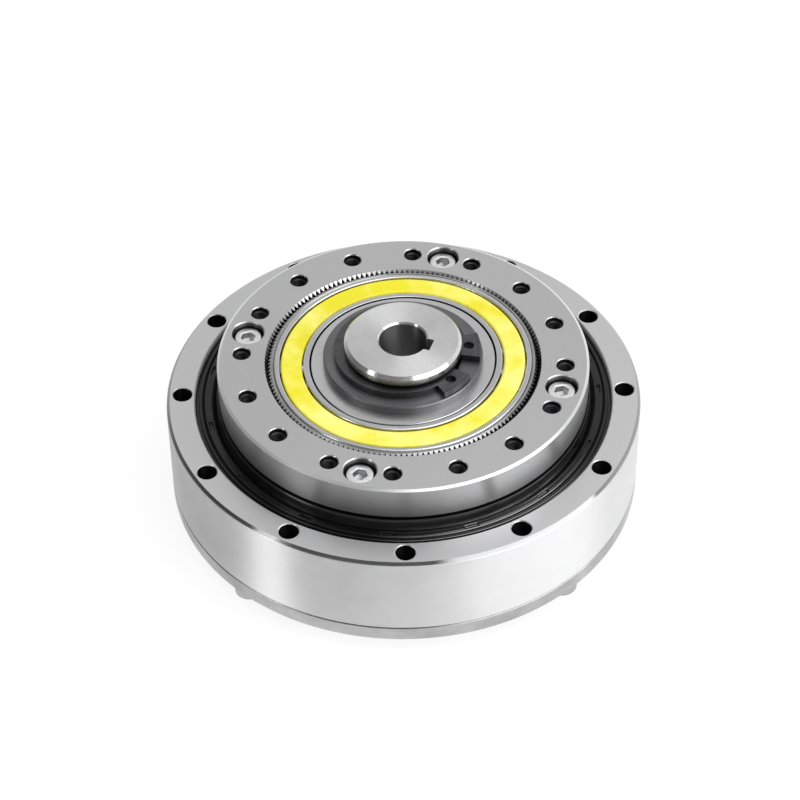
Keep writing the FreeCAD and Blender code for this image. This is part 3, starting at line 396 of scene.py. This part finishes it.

# Satin ground steel: an even grey face, a wall with tall soft reflections and a painted highlight on the edge
# between them; painted shade darkens the holes, counterbores, tooth spaces and a line above the seal's lip.
spline_steel = turned_steel("satin_ground_spline_steel", pale="D0D0D1", deep="C8C8C9", smooth=0.3, rough=0.36,
                            groove=0.2, depth=0.0004, pull=0.8, cloud=20.0)
tapped_holes = inside_holes(spline_steel, HOLE_CIRCLE, HOLE_COUNT, FIRST_HOLE, HOLE_RADIUS + 0.2)
sunk_holes = inside_holes(spline_steel, SCREW_CIRCLE, SCREW_COUNT, FIRST_SCREW, SUNK_RADIUS)
spline_teeth = zone(spline_steel, "reach", *SPLINE_TEETH)
spline_wall = zone(spline_steel, "reach", SPLINE_RADIUS - 0.05, SPLINE_RADIUS + 0.05)
front_shade = growing(spline_steel, (0, -1, 0), *FRONT_SHADE_FADE)
# Painted shade inside the tapped holes.
finish(spline_steel, tapped_holes, zone(spline_steel, "height", SPLINE_FOOT, SPLINE_FACE - 0.12))
# Painted shade in the counterbores of the sunk heads, darkest low down.
finish(spline_steel, sunk_holes, zone(spline_steel, "height", SPLINE_FOOT, SPLINE_FACE - 0.2), code="7A7A7B",
       roughness=0.4)
finish(spline_steel, sunk_holes, zone(spline_steel, "height", SPLINE_FOOT, SUNK_SHADE), code="3C3C3D")
# Painted shade in the tooth spaces.
finish(spline_steel, spline_teeth, zone(spline_steel, "height", SPLINE_FOOT, SPLINE_TOOTH_SLANT))
# Painted shade on the slanted tooth ends at the front.
finish(spline_steel, spline_teeth, front_shade,
       zone(spline_steel, "height", SPLINE_TOOTH_SLANT, SPLINE_FACE - 0.04))
finish(spline_steel, spline_wall, zone(spline_steel, "height", LIP_SHADE_TOP, SPLINE_FACE - 0.35), code="B4B4B5",
       roughness=0.33)
# Painted shade: a dark line on the wall just above the seal's lip.
finish(spline_steel, spline_wall, zone(spline_steel, "height", LIP_SHADE_FOOT, LIP_SHADE_TOP), roughness=0.3)
# Painted highlight: a pale line along the edge between face and wall.
finish(spline_steel, zone(spline_steel, "reach", SPLINE_RADIUS - 0.55, SPLINE_RADIUS - 0.01),
       zone(spline_steel, "height", SPLINE_FACE - 0.29, SPLINE_FACE - 0.01), code="ECECED", roughness=0.33)
dress(spline_steel, "circular_spline")

thread_rise = THREAD_SIDE * math.sqrt(3) / 2
bpy.ops.object.select_all(action="DESELECT")
bpy.ops.mesh.primitive_circle_add(vertices=3, radius=THREAD_SIDE / math.sqrt(3) * MM,
                                  location=((HOLE_RADIUS - thread_rise / 3) * MM, 0, 0),
                                  rotation=(math.pi / 2, -math.pi / 2, 0))
thread = bpy.context.object
bpy.ops.object.transform_apply(location=True, rotation=True, scale=True)
winding = thread.modifiers.new("winding", "SCREW")
winding.axis = "Z"
winding.screw_offset = THREAD_PITCH * MM
winding.iterations = THREAD_TURNS
winding.steps = winding.render_steps = 24
winding.use_normal_calculate = True
bpy.ops.object.modifier_apply(modifier=winding.name)
bpy.ops.object.mode_set(mode="EDIT")
bpy.ops.mesh.select_mode(type="VERT")
bpy.ops.mesh.select_all(action="SELECT")
bpy.ops.mesh.remove_doubles(threshold=0.001 * MM)
bpy.ops.mesh.fill_holes(sides=3)
bpy.ops.mesh.normals_make_consistent(inside=False)
bpy.ops.object.mode_set(mode="OBJECT")
threads = [thread]
for index in range(HOLE_COUNT):
    turn = math.radians(FIRST_HOLE + 360 / HOLE_COUNT * index)
    if index:
        threads.append(thread.copy())
        threads[index].data = thread.data.copy()
        bpy.context.collection.objects.link(threads[index])
    threads[index].location = (HOLE_CIRCLE * MM * math.cos(turn), HOLE_CIRCLE * MM * math.sin(turn),
                               THREAD_FOOT * MM)
for piece in threads:
    piece.select_set(True)
bpy.context.view_layer.objects.active = thread
bpy.ops.object.join()
bpy.ops.object.transform_apply(location=True, rotation=True, scale=True)
bpy.ops.object.shade_smooth_by_angle(angle=math.radians(25))
thread.name = "output_threads"

# Steel threads: nearly black as painted shade inside the holes, with a dull glint on each turn.
thread_steel = turned_steel("dark_shaded_thread_steel", pale="3E3E40", deep="2A2A2B", smooth=0.3, rough=0.45,
                            groove=0.5, depth=0.0005, pull=0.0, cloud=1.0)
thread.data.materials.append(thread_steel)
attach(thread, "output")

# Oil seal: nitrile rubber moulded over a pressed steel case, pushed into the outer ring.
# Ridges run round it, fifteen small notches are let into its middle band, and its lip climbs the output ring.
# Oil and handling leave the rubber black and slightly glossy, and wet at the front.

NOTCH_COUNT, FIRST_NOTCH, NOTCH_HALF_TURN, NOTCH_DEPTH = 15, 1.0, 2.45, 0.5
NOTCH_FROM, NOTCH_TO = 36.7, 37.4
SEAL_TOP, SEAL_VALLEY, SEAL_LIP = 19.5, 19.0, 21.3
SEAL_SIDES, SEAL_ROUNDING = 360, 0.1
LIP_EDGE = (35.75, 35.9)
RIDGE_EDGES = (36.35, NOTCH_FROM, NOTCH_TO, 37.75, 38.25, 38.8)
EDGE_HALF = 0.1
OIL_WAY, OIL_PATCH = (0.47, -0.88, 0.0), (30.0, 36.0)

# Pressed sheet steel: plain grey, and hidden under the rubber.
case_steel = turned_steel("pressed_case_steel", pale="A8A8A9", deep="8C8C8D", smooth=0.35, rough=0.5,
                          groove=0.6, depth=0.001, pull=0.0)
dress(case_steel, "seal_case")


def spun_ring(name, corners, sides):
    """A closed ring whose section runs through corners, given as radius and height in millimetres."""
    bpy.ops.object.select_all(action="DESELECT")
    radius, height = corners[0]
    bpy.ops.mesh.primitive_circle_add(vertices=sides, radius=radius * MM, location=(0, 0, height * MM))
    ring = bpy.context.object
    ring.name = name
    bpy.ops.object.transform_apply(location=True, rotation=True, scale=True)
    bpy.ops.object.mode_set(mode="EDIT")
    bpy.ops.mesh.select_mode(type="VERT")
    bpy.ops.mesh.select_all(action="SELECT")
    for next_radius, next_height in corners[1:] + corners[:1]:
        bpy.ops.mesh.extrude_region()
        share = next_radius / radius
        bpy.ops.transform.resize(value=(share, share, 1), center_override=(0, 0, 0))
        bpy.ops.transform.translate(value=(0, 0, (next_height - height) * MM))
        radius, height = next_radius, next_height
    bpy.ops.mesh.select_all(action="SELECT")
    bpy.ops.mesh.remove_doubles(threshold=0.002 * MM)
    bpy.ops.mesh.normals_make_consistent(inside=False)
    bpy.ops.object.mode_set(mode="OBJECT")
    return ring


def in_notch(centre, normal):
    """Whether a face of the seal's middle band lies where a notch is sunk."""
    step = 360 / NOTCH_COUNT
    turn = (math.degrees(math.atan2(centre.y, centre.x)) - FIRST_NOTCH + step / 2) % step - step / 2
    on_band = abs(centre.z - SEAL_TOP) < 0.01 and NOTCH_FROM < math.hypot(centre.x, centre.y) < NOTCH_TO
    return on_band and abs(turn) < NOTCH_HALF_TURN


outer_shoulder = [(39.6, 14.65), (39.6, 18.95), (38.8, 18.95), (38.8, SEAL_TOP), (38.25, SEAL_TOP)]
middle_band = [(37.92, SEAL_VALLEY), (37.75, SEAL_TOP), (NOTCH_TO, SEAL_TOP), (NOTCH_FROM, SEAL_TOP),
               (36.35, SEAL_TOP), (36.15, SEAL_VALLEY)]
lip = [(35.85, SEAL_TOP), (35.5, 20.6), (35.31, SEAL_LIP), (35.06, SEAL_LIP), (35.06, SEAL_VALLEY),
       (35.56, 18.1)]
underside = [(36.7, 18.1), (36.7, 18.7), (39.1, 18.7), (39.1, 14.65)]
seal = spun_ring("seal_rubber", outer_shoulder + middle_band + lip + underside, SEAL_SIDES)
pick_faces(seal, in_notch)
bpy.ops.mesh.extrude_region()
bpy.ops.transform.translate(value=(0, 0, -NOTCH_DEPTH * MM))
bpy.ops.object.mode_set(mode="OBJECT")
rounding = seal.modifiers.new("rounding", "BEVEL")
rounding.width = SEAL_ROUNDING * MM
rounding.segments = 3
rounding.limit_method = "ANGLE"
rounding.angle_limit = math.radians(25)
bpy.ops.object.modifier_apply(modifier=rounding.name)
bpy.ops.object.shade_smooth_by_angle(angle=math.radians(40))

# Oiled nitrile rubber: deep black with smeared gloss, and fine bright lines along the ridges where the oil
# is fresh. Its moulded grain is drawn coarser than real so that it breaks up the gloss.
rubber, rubber_tree, rubber_shader = new_material("oiled_nitrile_rubber", {
    "IOR": 1.45, "Coat IOR": 2.4, "Coat Roughness": 0.08})
rubber_place = polar(rubber_tree)["place"]
rubber_smears = add_node(rubber_tree, "ShaderNodeTexNoise", {
    "Vector": rubber_place, "Scale": 1 / (4 * MM), "Detail": 4.0}).outputs[0]
rubber_grain = add_node(rubber_tree, "ShaderNodeTexNoise", {
    "Vector": rubber_place, "Scale": 1 / (0.25 * MM)}).outputs[0]
rubber_sheen = add_node(rubber_tree, "ShaderNodeMapRange", {
    "Value": rubber_smears, "From Min": 0.3, "From Max": 0.7, "To Min": 0.13, "To Max": 0.25})
rubber_tint = add_node(rubber_tree, "ShaderNodeMix", {
    0: rubber_smears, 6: linear("030304"), 7: linear("0C0C0D")}, data_type="RGBA")
rubber_bump = add_node(rubber_tree, "ShaderNodeBump", {"Height": rubber_grain, "Distance": 0.004 * MM})
oil_patch = growing(rubber, OIL_WAY, *OIL_PATCH)
wet_edges = zone(rubber, "reach", *LIP_EDGE)
for edge in RIDGE_EDGES:
    ridge = zone(rubber, "reach", edge - EDGE_HALF, edge + EDGE_HALF)
    wet_edges = add_node(rubber_tree, "ShaderNodeMath", {0: wet_edges, 1: ridge},
                         operation="MAXIMUM").outputs[0]
fresh_oil = add_node(rubber_tree, "ShaderNodeMath", {0: wet_edges, 1: oil_patch},
                     operation="MULTIPLY").outputs[0]
rubber_film = add_node(rubber_tree, "ShaderNodeMapRange", {"Value": fresh_oil, "To Min": 0.05, "To Max": 1.0})
rubber_tree.links.new(rubber_tint.outputs[2], rubber_shader.inputs["Base Color"])
rubber_tree.links.new(rubber_sheen.outputs[0], rubber_shader.inputs["Roughness"])
rubber_tree.links.new(rubber_bump.outputs[0], rubber_shader.inputs["Normal"])
rubber_tree.links.new(rubber_film.outputs[0], rubber_shader.inputs["Coat Weight"])
seal.data.materials.append(rubber)
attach(seal, "housing")
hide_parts("oil_seal")

# Flexible ball bearing: thin ground races bent oval, with a yellow separator between them.
# The separator is moulded plastic, a little see-through and greasy, so its yellow is uneven, and it is
# painted paler towards the front right as light.

RACE_JOINT = (17.0, 17.8)
LIT_SIDE_WAY = (0.64, -0.77, 0.0)
LIT_SIDE_RISE = 0.05 / (20 * MM)

# Ground race steel: narrow bright rings, the inner one with a dark joint of oil along the plug.
race_steel = turned_steel("ground_race_steel", pale="DEDEDF", deep="CCCCCD", smooth=0.14, rough=0.24,
                          groove=0.2, depth=0.0005, pull=0.3)
dress(race_steel, "bearing_outer_race")
inner_race_steel = race_steel.copy()
inner_race_steel.name = "ground_inner_race_steel"
finish(inner_race_steel, zone(inner_race_steel, "unbent", *RACE_JOINT))
dress(inner_race_steel, "bearing_inner_race")

# Moulded yellow plastic: strong yellow that pales in soft patches, and paler still towards the front right as
# painted light.
yellow, yellow_tree, yellow_shader = new_material("moulded_yellow_plastic", {
    "IOR": 1.5, "Subsurface Weight": 0.15, "Subsurface Scale": 0.6 * MM,
    "Coat Weight": 0.3, "Coat Roughness": 0.2})
yellow_place = polar(yellow_tree)["place"]
yellow_patches = add_node(yellow_tree, "ShaderNodeTexNoise", {
    "Vector": yellow_place, "Scale": 1 / (8 * MM), "Detail": 4.0, "Roughness": 0.6}).outputs[0]
# Painted light: the yellow pales towards the front right.
lit_side = add_node(yellow_tree, "ShaderNodeVectorMath", {0: yellow_place, 1: LIT_SIDE_WAY},
                  operation="DOT_PRODUCT").outputs["Value"]
uneven = add_node(yellow_tree, "ShaderNodeMath", {0: lit_side, 1: LIT_SIDE_RISE, 2: yellow_patches},
                  operation="MULTIPLY_ADD").outputs[0]
yellow_share = add_node(yellow_tree, "ShaderNodeMapRange", {
    "Value": uneven, "From Min": 0.38, "From Max": 0.68}).outputs[0]
yellow_tint = add_node(yellow_tree, "ShaderNodeMix", {
    0: yellow_share, 6: linear("E6DC00"), 7: linear("F8F284")}, data_type="RGBA")
yellow_sheen = add_node(yellow_tree, "ShaderNodeMapRange", {
    "Value": uneven, "From Min": 0.3, "From Max": 0.7, "To Min": 0.5, "To Max": 0.3})
yellow_tree.links.new(yellow_tint.outputs[2], yellow_shader.inputs["Base Color"])
yellow_tree.links.new(yellow_sheen.outputs[0], yellow_shader.inputs["Roughness"])
dress(yellow, "ball_separator")

# Cam plug: the oval steel core of the wave generator, turned and milled, pressed into the inner race.
# Old oil fills the joint between them. The Oldham coupling below joins plug and hub through a bronze insert.

PLUG_JOINT = (17.48, 18.0)

# Turned steel: plain light grey with a faint sheen round the axis.
plug_steel = turned_steel("turned_plug_steel", pale="DCDCDD", deep="CACACB", smooth=0.26, rough=0.36,
                          groove=0.25, depth=0.001, pull=0.3)
finish(plug_steel, zone(plug_steel, "unbent", *PLUG_JOINT))
dress(plug_steel, "cam_plug")

# Machined bronze: warm and dull, and hidden under the hub.
bronze = turned_steel("machined_bronze", pale="C9A66B", deep="AE8A50", smooth=0.25, rough=0.4,
                      groove=0.4, depth=0.002, pull=0.2)
dress(bronze, "oldham_insert")

# Input hub: bright steel turned smooth, bored for the motor shaft and broached for its key.
# Its side is nearly a mirror, its top shows the fine rings of the last cut, and its bore is painted dull and
# dark as shade.

HUB_BORE_REACH, HUB_BORE_FOOT, HUB_BORE_TOP = 5.75, 10.0, 33.1
HUB_SIDE = (8.0, 15.0)
HUB_FOOT_DARK, HUB_FOOT_CLEAR = 31.6, 32.7

# Fine turned steel: the top's rings spread the light into fans, and the side fades to a painted shade at its
# foot.
hub_steel = turned_steel("fine_turned_hub_steel", pale="E8E8E8", deep="DADADB", smooth=0.26, rough=0.32,
                         groove=0.15, depth=0.0003, pull=0.95, fan=0.85, cloud=3.0, flank=-0.09)
hub_foot_shade = growing(hub_steel, (0, 0, -1), -HUB_FOOT_CLEAR, -HUB_FOOT_DARK)
# Painted shade inside the bore.
finish(hub_steel, zone(hub_steel, "reach", 0.0, HUB_BORE_REACH),
       zone(hub_steel, "height", HUB_BORE_FOOT, HUB_BORE_TOP), code="6C6C6D", roughness=0.5)
# Painted shade: the side darkens towards its foot.
finish(hub_steel, zone(hub_steel, "reach", *HUB_SIDE), hub_foot_shade, code="1E1E1F", roughness=0.3)
dress(hub_steel, "input_hub")

# Washer and snap ring: a dark hardened washer lies on the plug, and a blackened spring steel ring,
# sprung into the hub's groove, holds it down.

# Hardened steel: dark grey and satin.
washer_steel = turned_steel("dark_hardened_steel", pale="807F81", deep="6E6E70", smooth=0.34, rough=0.44,
                            groove=0.25, depth=0.001, pull=0.4)
dress(washer_steel, "rub_washer")

# Blackened spring steel: darker still, with the cloudy finish of its bath.
spring_steel = turned_steel("blackened_spring_steel", pale="666668", deep="505052", smooth=0.3, rough=0.42,
                            groove=0.5, depth=0.001, pull=0.0, cloud=2.0)
dress(spring_steel, "snap_ring")

# Studio: a plain pale floor under the screw heads, one soft box overhead, a wide one at the right, and a
# small lamp and a narrow strip at the left. In reflections the floor glows as painted light, brighter to the
# right, and the white surround is dimmer overhead, at the left and behind the camera.

FLOOR_SIZE, FLOOR_FADE = 6.0, (-55.0, -30.0)
GLOW_SHARE, GLOW_SEEN, GLOW_LEFT, GLOW_RIGHT = 0.8, 1.06, 0.72, 1.18
LAMP_POWER = 4.0

scene = bpy.context.scene
scene.view_settings.view_transform = "Standard"
bpy.ops.object.select_all(action="DESELECT")
bpy.ops.mesh.primitive_plane_add(size=FLOOR_SIZE, location=(0, 0, cad_box[0].z))
floor = bpy.context.object
floor.name = "floor"

# White paper: a plain white glowing ground that still takes a soft shadow; in the metal's reflections its
# glow is painted light, brighter to the right.
paper, paper_tree, paper_shader = new_material("white_paper", {
    "Base Color": linear("F4F4F4"), "Roughness": 0.9})
rays = add_node(paper_tree, "ShaderNodeLightPath").outputs
looked_at = add_node(paper_tree, "ShaderNodeMath", {0: rays["Is Camera Ray"], 1: rays["Is Glossy Ray"]},
                     operation="MAXIMUM").outputs[0]
bright_share = add_node(paper_tree, "ShaderNodeMath", {0: looked_at, 1: GLOW_SHARE},
                        operation="MULTIPLY").outputs[0]
# Painted light: in reflections the floor glows brighter to the right.
paper_light = add_node(paper_tree, "ShaderNodeMapRange", {
    "Value": growing(paper, (1, 0, 0), *FLOOR_FADE), "To Min": GLOW_LEFT, "To Max": GLOW_RIGHT}).outputs[0]
strength = add_node(paper_tree, "ShaderNodeMix", {
    0: rays["Is Glossy Ray"], 2: GLOW_SEEN, 3: paper_light}).outputs[0]
glow = add_node(paper_tree, "ShaderNodeEmission", {"Color": (1, 1, 1, 1), "Strength": strength}).outputs[0]
mixed = add_node(paper_tree, "ShaderNodeMixShader", {0: bright_share, 1: paper_shader.outputs[0], 2: glow})
paper_tree.links.new(mixed.outputs[0], paper_tree.nodes["Material Output"].inputs["Surface"])
floor.data.materials.append(paper)


def soft_box(name, place, width, height, level):
    """A rectangular lamp that faces the object; level is how bright its face looks, where 1 is white."""
    lamp = bpy.data.lights.new(name, "AREA")
    lamp.shape = "RECTANGLE"
    lamp.size, lamp.size_y = width, height
    lamp.energy = LAMP_POWER * level * width * height
    holder = bpy.data.objects.new(name, lamp)
    bpy.context.collection.objects.link(holder)
    holder.location = place
    holder.rotation_euler = (-Vector(place)).to_track_quat("-Z", "Y").to_euler()


soft_box("overhead_box", place=(0.22, 0.04, 0.75), width=0.75, height=0.6, level=1.3)
soft_box("right_box", place=(0.5, -0.33, 0.40), width=0.8, height=0.55, level=1.8)
soft_box("left_spot", place=(-0.504, -0.236, 0.45), width=0.12, height=0.1, level=3.2)
soft_box("left_strip", place=(-0.57, -0.37, 0.17), width=0.18, height=0.3, level=3.8)

world = bpy.data.worlds.new("studio")
scene.world = world
world.use_nodes = True
sky = world.node_tree
backdrop = sky.nodes["Background"]
backdrop.inputs["Color"].default_value = (1, 1, 1, 1)
sky_rays = add_node(sky, "ShaderNodeLightPath").outputs
direction = add_node(sky, "ShaderNodeTexCoord").outputs["Generated"]
parts = add_node(sky, "ShaderNodeSeparateXYZ", {0: direction}).outputs
mirrored = 1.0
for axis, start, end, near, far in (("Z", 0.25, 0.8, 1.0, 0.5), ("Y", -0.6, 0.1, 0.35, 1.0),
                                    ("X", -0.95, -0.4, 0.1, 1.0)):
    fade = add_node(sky, "ShaderNodeMapRange", {
        "Value": parts[axis], "From Min": start, "From Max": end, "To Min": near, "To Max": far}).outputs[0]
    mirrored = add_node(sky, "ShaderNodeMath", {0: mirrored, 1: fade}, operation="MULTIPLY").outputs[0]
dim = add_node(sky, "ShaderNodeMix", {0: sky_rays["Is Glossy Ray"], 2: 0.6, 3: mirrored}).outputs[0]
plain = add_node(sky, "ShaderNodeMath", {0: sky_rays["Is Camera Ray"], 1: sky_rays["Is Transmission Ray"]},
                 operation="MAXIMUM").outputs[0]
level = add_node(sky, "ShaderNodeMix", {0: plain, 2: dim, 3: 1.0}).outputs[0]
sky.links.new(level, backdrop.inputs["Strength"])

# Camera at the photograph's place: in front of the unit, looking down on it.
# Its place, lens and shift were fitted to the unit's hole circles and edges.

VIEW_TILT = math.radians(43.0945)
VIEW_ROLL = math.radians(-0.711)
VIEW_DISTANCE = 0.502871
AIM = Vector((0, 0, 0.020))
camera_data = bpy.data.cameras.new("camera")
camera_data.lens = 119.036
camera_data.shift_x = -0.0043
camera_data.shift_y = -0.0104
camera = bpy.data.objects.new("camera", camera_data)
bpy.context.collection.objects.link(camera)
camera.location = AIM + VIEW_DISTANCE * Vector((0, -math.cos(VIEW_TILT), math.sin(VIEW_TILT)))
camera.rotation_euler = Euler((math.pi / 2 - VIEW_TILT, 0, VIEW_ROLL), "ZYX").to_matrix().to_euler()
scene.camera = camera
